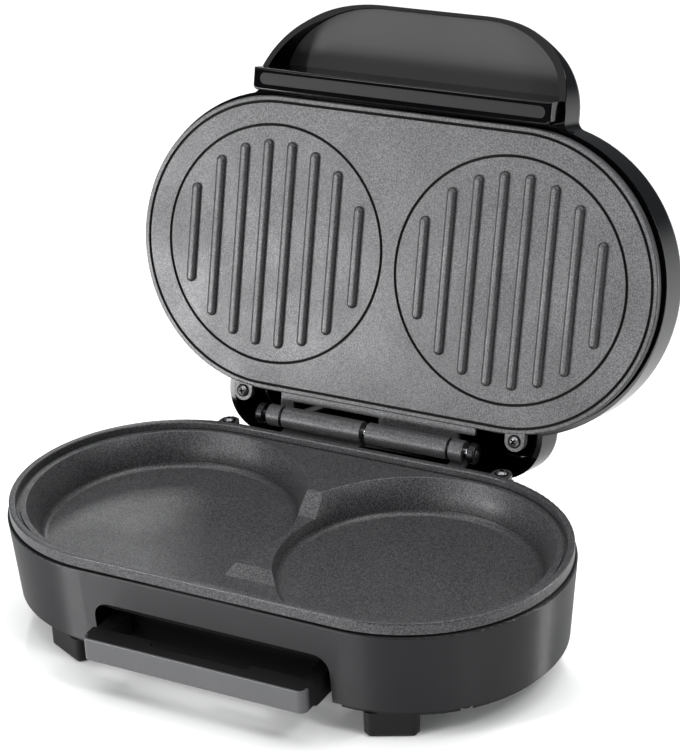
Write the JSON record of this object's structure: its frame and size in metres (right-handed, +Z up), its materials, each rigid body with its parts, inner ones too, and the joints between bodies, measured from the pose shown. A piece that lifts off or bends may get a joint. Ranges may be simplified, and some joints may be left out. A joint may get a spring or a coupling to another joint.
{
  "type": "breakfast sandwich maker",
  "caption": "Twin-cup breakfast sandwich maker, open: deep round cups in the base, ribbed plate in the hinged lid, shell handle on the lid and a grip bar across the front.",
  "frame": {"origin": "on the table, under the middle of the whole appliance as it stands open", "axes": "+X to the right along the hinge, +Y to the back, +Z up"},
  "size_m": [0.276, 0.258, 0.248],
  "materials": {
    "cast_coating": "matte dark grey non-stick coating with a fine speckle",
    "gunmetal": "satin gunmetal lacquer",
    "lid_black": "high gloss black moulded",
    "panel_grey": "satin dark grey moulded",
    "bar_grey": "satin grey lacquer",
    "black_plastic": "matt black moulded",
    "rubber": "matt black",
    "steel": "bright zinc",
    "aluminium": "mill sheet",
    "element_sheath": "grey oxidised sheath",
    "ceramic": "unglazed white",
    "lens_red": "clear red moulded",
    "lamp_glass": "clear glass"
  },
  "bodies": {
    "base": {"lower_plate": "cast_coating", "base_housing": "gunmetal", "bottom_cover": "black_plastic", "feet": "black_plastic", "foot_pads": "rubber", "grip_bar": "black_plastic", "grip_bar_trim": "bar_grey", "hinge_pin": "steel", "pin_clips": "steel", "lower_element": "element_sheath", "lower_element_clamps": "aluminium", "lower_reflector": "aluminium", "lower_inner_screws": "steel", "lower_reflector_screws": "steel", "thermal_fuse": "ceramic", "terminal_block": "ceramic", "cord_bush": "rubber", "lower_plate_screws": "steel", "bottom_cover_screws": "steel", "grip_bar_screws": "steel"},
    "lid": {"lid_housing": "lid_black", "upper_plate": "cast_coating", "handle_panel": "panel_grey", "handle_ledge": "lid_black", "ledge_band": "panel_grey", "upper_element": "element_sheath", "upper_element_clamps": "aluminium", "upper_reflector": "aluminium", "upper_inner_screws": "steel", "upper_reflector_screws": "steel", "thermostat": "aluminium", "indicator_lenses": "lens_red", "indicator_lamps": "lamp_glass", "lamp_holder": "black_plastic", "upper_plate_screws": "steel"}
  },
  "joints": [
    {"name": "lid_hinge", "type": "hinge", "parent": "base", "child": "lid", "pos_m": [0, 0.04082, 0.06313], "axis": [1, 0, 0], "range_deg": [0, 108]}
  ]
}
